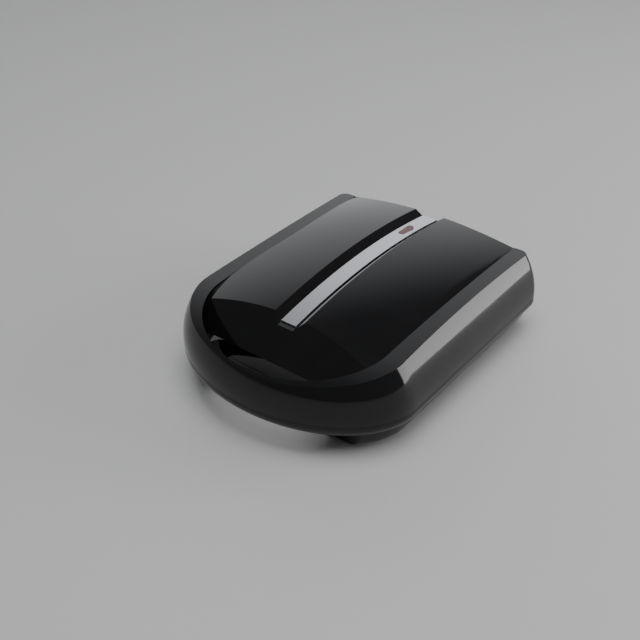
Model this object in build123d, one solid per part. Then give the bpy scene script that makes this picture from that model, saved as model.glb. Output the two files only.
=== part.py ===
from build123d import *
from math import atan2, degrees
import os

# Electric nut cookie maker: a closed clamshell with a handle bow at its front (-Y) and a hinge at
# its back (+Y). Millimetres, +Z up, the origin on the floor under the middle of the whole machine.

# Whole body
body_width = 226.0
body_depth = 270.0
hinge_reach = 7.0
front_arc_depth = 75.5
back_corner_radius = 14.0
foot_height = 4.0
base_height = 28.0
parting_gap = 0.6
wall = 2.6
fit_gap = 0.3

# Lid outside, with heights above the lid's lower edge
rim_height = 40.3
rim_inset = 13.7
rim_curve = 2.2
rim_back_share = 0.3
rim_front_height = 26.0
rim_top_setback = 175.0
rim_sag = 2.4
valley_drop = 3.6
recess_half_width = 86.0
bow_thickness = 8.6
dome_height = 53.4
dome_radius_across = 417.0
dome_radius_along = 602.0
dome_shoulder = [(20.0, 0.0), (36.5, 0.0), (41.0, 2.0), (45.0, 6.0), (47.0, 10.0), (56.0, 24.0)]
scoop_edge_setback = 38.3
scoop_edge_height = 15.0
scoop_slope = 1.03
slot_half_width = 56.0
slot_corner_radius = 8.0
channel_depth = 6.0
channel_wall_width = 8.0
strip_width = 15.2
strip_thickness = 1.2
strip_front_setback = 63.0
strip_back_setback = 4.5
lens_length = 19.0
lens_width = 6.6
lens_proud = 0.6
lens_back_setback = 44.0

# Base outside
base_profile = [(0.0, 16.0), (2.5, 11.5), (7.0, 9.0), (13.0, 7.6), (20.0, 6.6)]
base_rim_profile = [(20.0, 1.8), (22.5, 0.4), (25.5, 0.0), (28.0, 0.5)]
base_back_share = 0.3
base_bow_height = 11.0

# Handle covers, frames and their screws
cover_inset = 2.0
cover_thickness = 2.0
cover_slot_margin = 1.6
handle_hollow_height = 9.0
frame_recess = 1.0
frame_thickness = 2.4
frame_ledge = 9.1
boss_radius = 3.4
boss_x = 101.0
screw_radius = 1.5
screw_head_radius = 2.8
screw_head_height = 0.8
screw_length = 11.0
frame_screw_setbacks = [75.0, 150.0, 225.0]
cover_screw_x = 80.0
cover_screw_setback = 31.0
cover_screw_length = 8.0
head_recess = 0.9

# Baking plates: 24 nut halves in 4 columns and 6 rows
columns = 4
rows = 6
column_pitch = 45.0
row_pitch = 29.0
nut_length = 37.0
nut_width = 26.4
nut_end_radius = 9.0
dough_gap = 3.5
plate_width = 188.0
plate_depth = 198.0
plate_thickness = 4.0
plate_corner = 14.0
plate_front_gap = 5.1
plate_body_depth = 17.0
plate_body_top = 42.0
plate_body_bottom = 26.0
plate_body_margin = 3.2
plate_gap = 0.5
post_radius = 4.5
plate_screw_radius = 2.0
plate_screw_head_radius = 3.6
plate_screw_head_height = 2.0
plate_screw_bite = 6.0

# Heaters and their steel trays
heater_radius = 3.3
heater_bend = 8.0
heater_x = 45.0
heater_groove_depth = 8.3
heater_front_gap = 8.6
heater_end_reach = 8.0
heater_pin_radius = 1.5
heater_pin_length = 7.0
heater_lift = 0.1
clip_width = 10.0
clip_thickness = 0.8
clip_riser_gap = 0.2
upper_clip_foot = 12.5
upper_clip_screw = 8.5
lower_clip_foot = 16.5
lower_clip_screw = 13.0
small_screw_radius = 1.2
small_head_radius = 2.1
small_head_height = 1.2
clip_screw_bite = 3.0
tray_wall = 0.8
tray_flange = 2.0
upper_tray_depth = 11.0
lower_tray_clearance = 3.5

# Hinge
hinge_axis_reach = 1.0
barrel_radius = 6.0
barrel_half_width = 48.6
barrel_clearance = 0.6
ear_thickness = 10.0
ear_gap = 0.5
ear_root_height = 18.0
pin_radius = 2.0
pin_bite = 9.0
pin_head_radius = 4.0
pin_head_thickness = 1.6
running_fit = 0.05
press_fit = 0.01

# Thermostat and thermal fuse, on the tray in the lid
thermostat_radius = 8.0
thermostat_height = 9.0
thermostat_flange = (31.0, 16.0, 1.0)
thermostat_screw_x = 12.3
thermostat_offset = 18.0
blade_size = (0.8, 6.3, 9.0)
blade_x = 4.0
fuse_radius = 2.4
fuse_length = 26.0
fuse_offset = -24.0
fuse_clip_foot = 10.0
fuse_clip_screw = 6.8

# Terminal block and cord inlet, in the base
terminal_size = (42.0, 12.0, 10.0)
terminal_lift = 2.0
terminal_setback = 16.0
terminal_screw_x = 17.0
terminal_ways = (-8.0, 0.0, 8.0)
terminal_bore_radius = 2.0
gland_x = -84.0
gland_height = 15.0
gland_seat = 3.4
gland_radius = 6.0
gland_flange_radius = 8.0
gland_flange_thickness = 2.0
gland_bore_radius = 3.4
gland_length = 9.0

# Indicator lamps
lamp_radius = 2.6
lamp_length = 11.0
lamp_spacing = 7.0
lamp_holder_size = (17.0, 27.0, 8.0)
lamp_holder_wall = 1.2

# Feet
foot_radius = 7.5
foot_stem_radius = 3.0
foot_stem_clearance = 0.05
foot_x = 74.0
foot_setbacks = (52.0, 240.0)

front_y = -(body_depth + hinge_reach) / 2
back_y = front_y + body_depth
arc_y = front_y + front_arc_depth
half_width = body_width / 2
parting_z = foot_height + base_height
lid_z = parting_z + parting_gap
rim_top_y = front_y + rim_top_setback
scoop_y = front_y + scoop_edge_setback
recess_depth = front_arc_depth - bow_thickness
inner_front_y = scoop_y + wall
axis_y = back_y + hinge_axis_reach
axis_z = parting_z + parting_gap / 2
ear_x0 = barrel_half_width + ear_gap
ear_x1 = ear_x0 + ear_thickness
plate_front_y = inner_front_y + plate_front_gap
plate_back_y = plate_front_y + plate_depth
plate_y = (plate_front_y + plate_back_y) / 2
column_x = [column_pitch * (i - (columns - 1) / 2) for i in range(columns)]
row_y = [plate_y + row_pitch * (i - (rows - 1) / 2) for i in range(rows)]
body_length = rows * row_pitch + 2 * plate_body_margin
nut_end_x = nut_length / 2 - nut_end_radius
nut_belly_radius = (nut_end_x ** 2 + (nut_width / 2) ** 2 - nut_end_radius ** 2) / (nut_width - 2 * nut_end_radius)
frame_z = parting_z - frame_recess - frame_thickness
lid_frame_z = lid_z + frame_recess
lid_frame_top = lid_frame_z + frame_thickness
strip_front_y = front_y + strip_front_setback
strip_back_y = back_y - strip_back_setback
lens_y = back_y - lens_back_setback
frame_screw_y = [front_y + setback for setback in frame_screw_setbacks]
cover_screw_y = front_y + cover_screw_setback
post_y = [plate_y - 2 * row_pitch, plate_y + 2 * row_pitch]
post_x = [column_x[0], column_x[-1]]
lower_tray_floor = parting_z - plate_body_depth - lower_tray_clearance
upper_tray_roof = lid_frame_top + upper_tray_depth
heater_lower_z = parting_z - heater_groove_depth
heater_upper_z = lid_z + plate_thickness + heater_radius + heater_lift
heater_front_y = plate_y - body_length / 2 - heater_front_gap + heater_radius
heater_back_y = plate_back_y + heater_end_reach
foot_y = [front_y + setback for setback in foot_setbacks]
clip_y = [plate_y - row_pitch, plate_y + row_pitch]
rib_floor = parting_z - plate_body_depth
sensor_z = upper_tray_roof + tray_wall
terminal_y = back_y - terminal_setback
base_floor = foot_height + wall
ring_radius = dome_radius_along
ring_z = lid_z + dome_height - ring_radius
far = 400.0


def plan(inset, back_inset, z):
    """The body's plan: straight sides, a half ellipse at the front, round back corners."""
    half = half_width - inset
    back = back_y - back_inset
    radius = max(back_corner_radius - 0.5 * inset, 2.0)
    with BuildSketch(Plane.XY.offset(z)) as sketch:
        with BuildLine():
            EllipticalCenterArc((0, arc_y), half, front_arc_depth - inset, start_angle=180, arc_size=180)
            Line((half, arc_y), (half, back - radius))
            RadiusArc((half, back - radius), (half - radius, back), -radius)
            Line((half - radius, back), (radius - half, back))
            RadiusArc((radius - half, back), (-half, back - radius), -radius)
            Line((-half, back - radius), (-half, arc_y))
        make_face()
    return sketch.sketch


def recess_plan(inset, z):
    """The U shaped line inside the rim, which the dome and the handle slot share."""
    half = recess_half_width - inset
    behind = back_y + far / 10
    with BuildSketch(Plane.XY.offset(z)) as sketch:
        with BuildLine():
            EllipticalCenterArc((0, arc_y), half, recess_depth - inset, start_angle=180, arc_size=180)
            Polyline((half, arc_y), (half, behind), (-half, behind), (-half, arc_y))
        make_face()
    return sketch.sketch


def prism(sketch, height):
    return extrude(sketch, amount=height, dir=(0, 0, 1))


def across(points, half=far):
    """A prism along X from a closed outline of (y, z) points."""
    with BuildSketch(Plane.YZ.offset(-half)) as sketch:
        with BuildLine():
            Polyline(*points, close=True)
        make_face()
    return extrude(sketch.sketch, amount=2 * half)


def block(x0, x1, y0, y1, z0, z1):
    return Pos((x0 + x1) / 2, (y0 + y1) / 2, (z0 + z1) / 2) * Box(x1 - x0, y1 - y0, z1 - z0)


def upright(x, y, z0, z1, radius):
    return Pos(x, y, (z0 + z1) / 2) * Cylinder(radius, z1 - z0)


def lying(x0, x1, y, z, radius):
    """A cylinder along X."""
    return Pos((x0 + x1) / 2, y, z) * Rot(0, 90, 0) * Cylinder(radius, x1 - x0)


def rounded(width, depth, y, z, height, corner):
    sketch = Plane.XY.offset(z) * Pos(0, y) * RectangleRounded(width, depth, corner)
    return prism(sketch, height)


def behind(y):
    return block(-far, far, y, far, -far, far)


def rim_inset_at(height):
    return rim_inset * (min(height, rim_height) / rim_height) ** rim_curve


def rim_height_at(y):
    """The rim's crest arches a little along the sides and falls away round the bow."""
    sag = rim_sag * ((y - rim_top_y) / 100) ** 2
    front = max(0.0, (arc_y - y) / front_arc_depth)
    front_sag = rim_sag * ((front_y - rim_top_y) / 100) ** 2
    return rim_height - sag - (rim_height - front_sag - rim_front_height) * front ** 2


def dome_z_at(y):
    """The height of the dome's crown line, an arc about the ring axis."""
    return ring_z + (ring_radius ** 2 - (y - rim_top_y) ** 2) ** 0.5


def lid_walls(skin):
    """The lid's bulging side walls, a loft of plans that draw in towards the crest."""
    sections = []
    for level in [0.0, 9.0, 18.0, 26.0, 33.0, rim_height, dome_height + 4]:
        inset = rim_inset_at(level)
        sections.append(plan(inset + skin, rim_back_share * inset + skin, lid_z + level))
    return loft(sections)


def below_rim(drop):
    start = front_y - 5
    length = body_depth + hinge_reach + 15
    stations = [start + length * i / 14 for i in range(15)]
    top = [(y, lid_z + rim_height_at(max(y, front_y)) - drop) for y in stations]
    return across([(start, lid_z - 5)] + top + [(start + length, lid_z - 5)])


def below_scoop(drop):
    """Everything below the level slot edge and, behind it, below the sloping scoop."""
    run = 60.0
    level = lid_z + scoop_edge_height - drop
    top_z = level + run * scoop_slope
    low = lid_z - 60
    return across([(-far, low), (-far, level), (scoop_y, level), (scoop_y + run, top_z), (far, top_z),
                   (far, low)])


def along_dome(profile):
    """A profile in the XZ plane over the lid's highest place, swung along the dome's long arc."""
    axis = Axis((0, rim_top_y, ring_z), (1, 0, 0))
    turn = 24.0
    return revolve(profile.rotate(axis, -turn), axis, 2 * turn)


def below_dome(drop):
    """Everything below the dome."""
    side = recess_half_width + 10
    fall = side ** 2 / (2 * dome_radius_across)
    top = lid_z + dome_height - drop
    with BuildSketch(Plane.XZ.offset(-rim_top_y)) as sketch:
        with BuildLine():
            arc = ThreePointArc((-side, top - fall), (0, top), (side, top - fall))
            Polyline(arc @ 1, (side, lid_z - 60), (-side, lid_z - 60), arc @ 0)
        make_face()
    return along_dome(sketch.sketch)


def dome_body(skin, drop):
    sections = [recess_plan(inset + skin, lid_z + level) for level, inset in dome_shoulder]
    return loft(sections) & below_dome(drop)


def channel_cut():
    """The strip's channel, a trapezoid that follows the dome from the scoop to the back."""
    floor_half = strip_width / 2
    rise = 1.5
    floor = lid_z + dome_height - channel_depth
    top = floor + channel_depth + rise
    wide = floor_half + channel_wall_width * (channel_depth + rise) / channel_depth
    with BuildSketch(Plane.XZ.offset(-rim_top_y)) as sketch:
        with BuildLine():
            Polyline((-floor_half, floor), (floor_half, floor), (wide, top), (-wide, top), close=True)
        make_face()
    return along_dome(sketch.sketch) & behind(scoop_y + 4)


def slot_plan(grow, z):
    """The half moon handle slot: a straight back edge and the bow's inner arc."""
    half = slot_half_width + grow
    field = Plane.XY.offset(z) * Pos(0, scoop_y + grow - far / 2) * Rectangle(2 * half, far)
    moon = recess_plan(-grow, z) & field
    return fillet(moon.vertices(), slot_corner_radius)


def slot(grow=0.0):
    return prism(slot_plan(grow, 0), 2 * parting_z + rim_height)


def hinge_cylinder(x0, x1, extra):
    return lying(x0, x1, axis_y, axis_z, barrel_radius + extra)


def ear_clearances():
    """Room for the base's two ears and the pin heads beside them."""
    right = hinge_cylinder(ear_x0 - ear_gap, ear_x1 + pin_head_thickness + ear_gap, barrel_clearance)
    return right + mirror(right, Plane.YZ)


def pin_head_clearances():
    right = lying(ear_x1, ear_x1 + pin_head_thickness + ear_gap, axis_y, axis_z, pin_head_radius + fit_gap)
    return right + mirror(right, Plane.YZ)


def frame_bosses(z0, z1):
    bosses = []
    for y in frame_screw_y:
        for side in (-1, 1):
            bosses.append(upright(side * boss_x, y, z0, z1, boss_radius))
    return bosses


def screw(x, y, z, up, radius, head_radius, head_height, length):
    """A screw whose head sits on z and whose shank runs up or down from there."""
    direction = 1 if up else -1
    head = upright(x, y, *sorted((z, z - direction * head_height)), head_radius)
    shank = upright(x, y, *sorted((z, z + direction * length)), radius)
    return head + shank


def frame_screws(z, up):
    return [screw(side * boss_x, y, z, up, screw_radius, screw_head_radius, screw_head_height, screw_length)
            for y in frame_screw_y for side in (-1, 1)]


def screw_holes(z0, z1):
    radius = screw_radius + press_fit
    return [upright(side * boss_x, y, z0, z1, radius) for y in frame_screw_y for side in (-1, 1)]


def cover_screws(z, up):
    return [screw(side * cover_screw_x, cover_screw_y, z, up, screw_radius, screw_head_radius,
                  screw_head_height, cover_screw_length) for side in (-1, 1)]


def cover_holes(z0, z1):
    return [upright(side * cover_screw_x, cover_screw_y, z0, z1, screw_radius + press_fit)
            for side in (-1, 1)]


def handle_cover_plan(inset, z, margin):
    """The underside of a handle half: the bow and its two roots, round the slot."""
    whole = plan(inset, inset, z)
    front = Plane.XY.offset(z) * Pos(0, scoop_y - wall - far / 2) * Rectangle(far, far)
    return (whole & front) - slot_plan(margin, z)


def make_lid_shell():
    outer = lid_walls(0) & below_rim(0)
    recess = prism(recess_plan(0, lid_z - 20), 120)
    outer -= recess - (below_rim(valley_drop) & below_scoop(0))
    dome = dome_body(0, 0) & lid_walls(0) & below_scoop(0)
    outer += dome
    outer -= channel_cut()
    hollow = lid_walls(wall) & below_rim(valley_drop + wall)
    hollow += dome_body(wall, channel_depth + wall) & lid_walls(wall)
    hollow &= below_scoop(1.4 * wall)
    hollow &= behind(inner_front_y)
    shell = outer - hollow
    shell -= slot()
    rebate = prism(handle_cover_plan(cover_inset, lid_z, cover_slot_margin), cover_thickness)
    pocket = prism(handle_cover_plan(cover_inset + wall, lid_z, cover_slot_margin + wall), handle_hollow_height)
    shell -= rebate
    shell -= pocket
    for boss in frame_bosses(lid_frame_top, lid_z + rim_height - valley_drop - wall / 2):
        shell += boss & outer
    for side in (-1, 1):
        boss = upright(side * cover_screw_x, cover_screw_y, lid_z + cover_thickness,
                       lid_z + handle_hollow_height + 1, boss_radius)
        shell += boss
    shell += hinge_cylinder(-barrel_half_width, barrel_half_width, 0)
    shell -= ear_clearances()
    for side in (-1, 1):
        shell -= lying(*sorted((side * (barrel_half_width - pin_bite), side * far)), axis_y, axis_z,
                       pin_radius + running_fit)
    for hole in screw_holes(lid_frame_top, lid_frame_z + screw_length + 1):
        shell -= hole
    for hole in cover_holes(lid_z, lid_z + head_recess + cover_screw_length):
        shell -= hole
    shell -= lens_body(fit_gap / 3, dome_z_at(lens_y) - 20, far / 4)
    return shell


def lens_body(grow, z0, height):
    sketch = Plane.XY.offset(z0) * Pos(0, lens_y) * Rot(0, 0, 90) * SlotOverall(lens_length + 2 * grow,
                                                                                lens_width + 2 * grow)
    return prism(sketch, height)


def base_solid(skin):
    """The base tub and, above it, the rim band that meets the lid."""
    tub = [plan(inset + skin, base_back_share * inset + skin, foot_height + level)
           for level, inset in base_profile]
    rim = [plan(inset + skin, base_back_share * inset + skin, foot_height + level)
           for level, inset in base_rim_profile]
    return loft(tub) + loft(rim)


def foot_places():
    return [(side * foot_x, y) for y in foot_y for side in (-1, 1)]


def make_base_shell():
    shell = base_solid(0)
    shell -= block(-far, far, -far, scoop_y, 0, parting_z - base_bow_height)
    tub = [plan(inset + wall, base_back_share * inset + wall, foot_height + max(level, wall))
           for level, inset in base_profile[1:]]
    ledge_z = foot_height + base_profile[-1][0]
    hollow = loft(tub) + prism(plan(frame_ledge, frame_ledge / 2, ledge_z), far / 10)
    hollow &= block(-far, far, -far, far, 0, frame_z)
    hollow &= behind(inner_front_y)
    mouth = prism(plan(wall + 0.6, wall + 0.6, frame_z), far / 10) & behind(inner_front_y)
    shell -= hollow
    shell -= mouth
    shell -= slot()
    cover = prism(handle_cover_plan(cover_inset, parting_z - cover_thickness, cover_slot_margin), far / 10)
    shell -= cover
    ear_profile = [(back_y - wall, axis_z), (axis_y + barrel_radius, axis_z),
                   (back_y - wall + 1, parting_z - ear_root_height), (back_y - 2 * wall, parting_z - ear_root_height)]
    for side in (-1, 1):
        x0, x1 = sorted((side * ear_x0, side * ear_x1))
        ear = across(ear_profile, half=ear_thickness / 2).moved(Location(((x0 + x1) / 2, 0, 0)))
        ear += hinge_cylinder(x0, x1, 0)
        shell += ear - hollow - mouth
    shell -= hinge_cylinder(-ear_x0, ear_x0, barrel_clearance)
    shell -= pin_head_clearances()
    for side in (-1, 1):
        shell -= lying(*sorted((side * barrel_half_width, side * far)), axis_y, axis_z, pin_radius + press_fit)
    outer = base_solid(0)
    for boss in frame_bosses(foot_height + wall, frame_z):
        shell += boss & outer
    for hole in screw_holes(frame_z - screw_length, frame_z):
        shell -= hole
    for hole in cover_holes(parting_z - head_recess - cover_screw_length, parting_z):
        shell -= hole
    for x, y in foot_places():
        shell -= upright(x, y, 0, parting_z / 2, foot_stem_radius + foot_stem_clearance)
    for x in (-terminal_screw_x, terminal_screw_x):
        shell += upright(x, terminal_y, foot_height + wall / 2, base_floor + terminal_lift, boss_radius)
        shell -= upright(x, terminal_y, foot_height + wall / 2, base_floor + terminal_lift,
                         small_screw_radius + press_fit)
    gland_place = Pos(gland_x, back_y, gland_height) * Rot(90, 0, 0)
    shell -= gland_place * Cylinder(gland_radius + fit_gap / 3, 12 * wall)
    shell -= gland_place * Cylinder(gland_flange_radius + fit_gap / 3, 2 * gland_seat)
    return shell


def make_frame(z, axis_cut):
    """The inner frame round a baking plate, open over the plate."""
    inset = wall + 0.6 + fit_gap
    frame = prism(plan(inset, inset, z), frame_thickness) & behind(inner_front_y + fit_gap)
    window = rounded(plate_width + 2, plate_depth + 2, plate_y, z, frame_thickness, plate_corner + 1)
    frame -= window
    frame -= hinge_cylinder(-ear_x0, ear_x0, axis_cut)
    frame -= ear_clearances()
    for side in (-1, 1):
        for y in frame_screw_y:
            frame -= upright(side * boss_x, y, z, z + frame_thickness, screw_radius + 0.1)
    return frame


def make_handle_cover(z, face_z):
    """The plate that closes a handle half, with its two screw heads sunk into the outer face."""
    gap = fit_gap / 2
    cover = prism(handle_cover_plan(cover_inset + gap, z, cover_slot_margin + gap), cover_thickness)
    cover &= block(-far, far, -far, scoop_y - wall - gap, 0, far)
    for side in (-1, 1):
        cover -= upright(side * cover_screw_x, cover_screw_y, z, z + cover_thickness, screw_radius + 0.1)
        cover -= upright(side * cover_screw_x, cover_screw_y, face_z - head_recess, face_z + head_recess,
                         screw_head_radius + 0.2)
    return cover


def nut(x, y, z, shrink):
    """A whole nut lying on its side: a belly arc between two end arcs, turned about its length."""
    turn = degrees(atan2(nut_belly_radius - nut_width / 2, nut_end_x))
    belly_y = nut_width / 2 - nut_belly_radius
    end = nut_end_radius - shrink
    tip = nut_end_x + end
    with BuildSketch(Plane.XY) as sketch:
        with BuildLine():
            CenterArc((nut_end_x, 0), end, 0, turn)
            CenterArc((0, belly_y), nut_belly_radius - shrink, turn, 180 - 2 * turn)
            CenterArc((-nut_end_x, 0), end, 180 - turn, turn)
            Line((-tip, 0), (tip, 0))
        make_face()
    return Pos(x, y, z) * Rot(90, 0, 0) * revolve(sketch.sketch, Axis.X, 360)


def plate_columns(z, depth, up):
    """The ribs cast on a plate's back, one to a column of nuts, narrowing away from the plate."""
    sign = 1 if up else -1
    solids = []
    for x in column_x:
        top = Plane.XY.offset(z) * Pos(x, plate_y) * Rectangle(plate_body_top, body_length)
        shrink = plate_body_top - plate_body_bottom
        low = Plane.XY.offset(z + sign * depth) * Pos(x, plate_y) * Rectangle(plate_body_bottom, body_length - shrink)
        solids.append(loft([top, low]))
    return solids


def nuts(z, shrink):
    return [nut(x, y, z, shrink) for x in column_x for y in row_y]


def posts(z0, z1, radius):
    return [upright(x, y, z0, z1, radius) for x in post_x for y in post_y]


def clip_holes(z0, z1, reach):
    return [upright(x, y, z0, z1, small_screw_radius + press_fit)
            for x in clip_screw_x(reach) for y in clip_y]


def make_lower_plate():
    plate = rounded(plate_width, plate_depth, plate_y, parting_z - plate_thickness, plate_thickness, plate_corner)
    plate += plate_columns(parting_z - plate_thickness, plate_body_depth - plate_thickness, False)
    plate -= nuts(parting_z, 0)
    plate += posts(lower_tray_floor, rib_floor + 1, post_radius)
    plate -= posts(lower_tray_floor, lower_tray_floor + plate_screw_bite, plate_screw_radius + press_fit)
    return plate - clip_holes(rib_floor, rib_floor + clip_screw_bite, lower_clip_screw)


def make_upper_plate():
    plate = rounded(plate_width, plate_depth, plate_y, lid_z, plate_thickness, plate_corner)
    lower_half = block(-far, far, -far, far, -far, lid_z + plate_thickness / 2)
    plate += [bulge & lower_half for bulge in nuts(lid_z, dough_gap)]
    back = lid_z + plate_thickness
    plate += posts(back - 1, upper_tray_roof, post_radius)
    plate -= posts(upper_tray_roof - plate_screw_bite, upper_tray_roof, plate_screw_radius + press_fit)
    return plate - clip_holes(back - clip_screw_bite, back, upper_clip_screw)


def make_heater(z):
    """A tubular heater bent to a U, with a cold pin at each end."""
    path = FilletPolyline((-heater_x, heater_back_y, z), (-heater_x, heater_front_y, z),
                          (heater_x, heater_front_y, z), (heater_x, heater_back_y, z), radius=heater_bend)
    ring = Plane(path @ 0, z_dir=path % 0) * Circle(heater_radius)
    heater = sweep(ring, path=path)
    for side in (-1, 1):
        pin = Pos(side * heater_x, heater_back_y + heater_pin_length / 2, z) * Rot(90, 0, 0)
        heater += pin * Cylinder(heater_pin_radius, heater_pin_length)
    return heater


def clip_screw_x(reach):
    return [side * (heater_x + reach) for side in (-1, 1)]


def heater_clips(foot_z, tube_z, up, reach, screw_reach):
    """Steel clips, each with one screwed foot and a pad that holds the heater's tube down."""
    sign = 1 if up else -1
    riser = heater_x + heater_radius + clip_riser_gap
    face = tube_z + sign * (heater_radius + heater_lift / 2)
    clips = []
    for y in clip_y:
        y0 = y - clip_width / 2
        y1 = y + clip_width / 2
        foot_span = sorted((foot_z, foot_z + sign * clip_thickness))
        pad_span = sorted((face, face + sign * clip_thickness))
        riser_span = (min(foot_span[0], pad_span[0]), max(foot_span[1], pad_span[1]))
        clip = block(riser, heater_x + reach, y0, y1, *foot_span)
        clip += block(heater_x - heater_radius, riser + clip_thickness, y0, y1, *pad_span)
        clip += block(riser, riser + clip_thickness, y0, y1, *riser_span)
        clip -= upright(heater_x + screw_reach, y, *foot_span, small_screw_radius + 0.1)
        clips += [clip, mirror(clip, Plane.YZ)]
    return clips


def clip_screws(z, up, reach):
    return [screw(x, y, z, up, small_screw_radius, small_head_radius, small_head_height,
                  clip_thickness + clip_screw_bite - 0.4) for x in clip_screw_x(reach) for y in clip_y]


def make_tray(flange_z, depth, up):
    """A folded steel tray behind a plate, with a flange that lies on the frame."""
    sign = 1 if up else -1
    width = plate_width + 2 * plate_gap
    length = plate_depth + 2 * plate_gap
    outer_w = width + 2 * tray_wall
    outer_l = length + 2 * tray_wall
    corner = plate_corner + plate_gap

    def box(w, l, a, b, c):
        z0, z1 = sorted((a, b))
        return rounded(w, l, plate_y, z0, z1 - z0, c)
    floor = flange_z + sign * depth
    body = box(outer_w, outer_l, flange_z, floor + sign * tray_wall, corner + tray_wall)
    body += box(outer_w + 2 * tray_flange, outer_l + 2 * tray_flange, flange_z, flange_z + sign * tray_wall,
                corner + tray_wall + tray_flange)
    body -= box(width, length, flange_z, floor, corner)
    return body


def make_lower_tray():
    tray = make_tray(frame_z, frame_z - lower_tray_floor, False)
    for side in (-1, 1):
        hole = Pos(side * heater_x, plate_back_y + 2, heater_lower_z) * Rot(90, 0, 0)
        tray -= hole * Cylinder(heater_radius + fit_gap, 10)
    for x in post_x:
        for y in post_y:
            tray -= upright(x, y, lower_tray_floor - 2, lower_tray_floor, plate_screw_radius + 0.1)
    return tray


def make_upper_tray():
    tray = make_tray(lid_frame_top, upper_tray_depth, True)
    for side in (-1, 1):
        hole = Pos(side * heater_x, plate_back_y + 2, heater_upper_z) * Rot(90, 0, 0)
        tray -= hole * Cylinder(heater_radius + fit_gap, 10)
    for x in post_x:
        for y in post_y:
            tray -= upright(x, y, upper_tray_roof, upper_tray_roof + 2, plate_screw_radius + 0.1)
    for x, y in sensor_screw_places():
        tray -= upright(x, y, upper_tray_roof, sensor_z, small_screw_radius + press_fit)
    return tray


def sensor_screw_places():
    """Two screws for the thermostat's flange and one for the thermal fuse's clip."""
    places = [(side * thermostat_screw_x, plate_y + thermostat_offset) for side in (-1, 1)]
    return places + [(0, plate_y + fuse_offset + fuse_clip_screw)]


def make_thermostat():
    width, depth, thickness = thermostat_flange
    y = plate_y + thermostat_offset
    flange = rounded(width, depth, y, sensor_z, thickness, depth / 2 - 0.01)
    for side in (-1, 1):
        flange -= upright(side * thermostat_screw_x, y, sensor_z, sensor_z + thickness, small_screw_radius + 0.1)
    return flange + upright(0, y, sensor_z, sensor_z + thermostat_height, thermostat_radius)


def make_thermostat_blades():
    thickness, width, height = blade_size
    y = plate_y + thermostat_offset
    z = sensor_z + thermostat_height
    return [block(x - thickness / 2, x + thickness / 2, y - width / 2, y + width / 2, z, z + height)
            for x in (-blade_x, blade_x)]


def make_fuse():
    z = sensor_z + fuse_radius + heater_lift / 2
    return lying(-fuse_length / 2, fuse_length / 2, plate_y + fuse_offset, z, fuse_radius)


def make_fuse_clip():
    """The same kind of clip as the heaters', turned so that its foot points to the back."""
    y = plate_y + fuse_offset
    riser = y + fuse_radius + clip_riser_gap
    half = clip_width / 2
    face = sensor_z + 2 * fuse_radius + heater_lift
    clip = block(-half, half, riser, y + fuse_clip_foot, sensor_z, sensor_z + clip_thickness)
    clip += block(-half, half, y - fuse_radius, riser + clip_thickness, face, face + clip_thickness)
    clip += block(-half, half, riser, riser + clip_thickness, sensor_z, face + clip_thickness)
    return clip - upright(0, y + fuse_clip_screw, sensor_z, sensor_z + clip_thickness, small_screw_radius + 0.1)


def make_sensor_screws():
    screws = []
    for x, y in sensor_screw_places():
        seat = sensor_z + (thermostat_flange[2] if x else clip_thickness)
        screws.append(screw(x, y, seat, False, small_screw_radius, small_head_radius, small_head_height,
                            seat - upper_tray_roof + 1))
    return screws


def make_terminal_block():
    width, depth, height = terminal_size
    z = base_floor + terminal_lift
    body = block(-width / 2, width / 2, terminal_y - depth / 2, terminal_y + depth / 2, z, z + height)
    for x in (-terminal_screw_x, terminal_screw_x):
        body -= upright(x, terminal_y, z, z + height, small_screw_radius + 0.1)
        body -= upright(x, terminal_y, z + height / 2, z + height, small_head_radius + fit_gap)
    for x in terminal_ways:
        way = Pos(x, terminal_y, z + height / 2) * Rot(90, 0, 0)
        body -= way * Cylinder(terminal_bore_radius, depth)
    return body


def make_terminal_screws():
    z = base_floor + terminal_lift
    return [screw(x, terminal_y, z + terminal_size[2] / 2, False, small_screw_radius, small_head_radius,
                  small_head_height, terminal_size[2] / 2 + terminal_lift + wall / 4)
            for x in (-terminal_screw_x, terminal_screw_x)]


def plate_screws(z, up):
    return [screw(x, y, z, up, plate_screw_radius, plate_screw_head_radius, plate_screw_head_height,
                  plate_screw_bite + tray_wall - 0.4) for x in post_x for y in post_y]


def make_strip():
    """The metal strip in the channel's floor, bent to the dome's long arc."""
    half = strip_width / 2 - fit_gap / 3
    bottom = lid_z + dome_height - channel_depth
    with BuildSketch(Plane.XZ.offset(-rim_top_y)) as sketch:
        with Locations((0, bottom + strip_thickness / 2)):
            Rectangle(2 * half, strip_thickness)
    strip = along_dome(sketch.sketch) & block(-far, far, strip_front_y, strip_back_y, 0, far)
    return strip - lens_body(fit_gap / 3, dome_z_at(lens_y) - 20, far / 4)


def make_lens():
    top = dome_z_at(lens_y) - channel_depth + strip_thickness + lens_proud
    roof = dome_z_at(lens_y) - channel_depth - wall
    lens = lens_body(0, roof - 0.5, top - roof + 0.5)
    return fillet(lens.edges().group_by(Axis.Z)[-1], 0.5)


def lamp_holder_floor():
    return dome_z_at(lens_y) - channel_depth - wall - lamp_holder_size[2]


def make_lamp_holder():
    """A tray for the two lamps whose upper edge follows the lid's roof."""
    width, length, height = lamp_holder_size
    z = lamp_holder_floor()
    w = lamp_holder_wall
    holder = block(-width / 2, width / 2, lens_y - length / 2, lens_y + length / 2, z, z + 2 * height)
    holder -= block(w - width / 2, width / 2 - w, lens_y - length / 2 + w, lens_y + length / 2 - w,
                    z + w, z + 2 * height)
    return holder & below_dome(channel_depth + wall)


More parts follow.
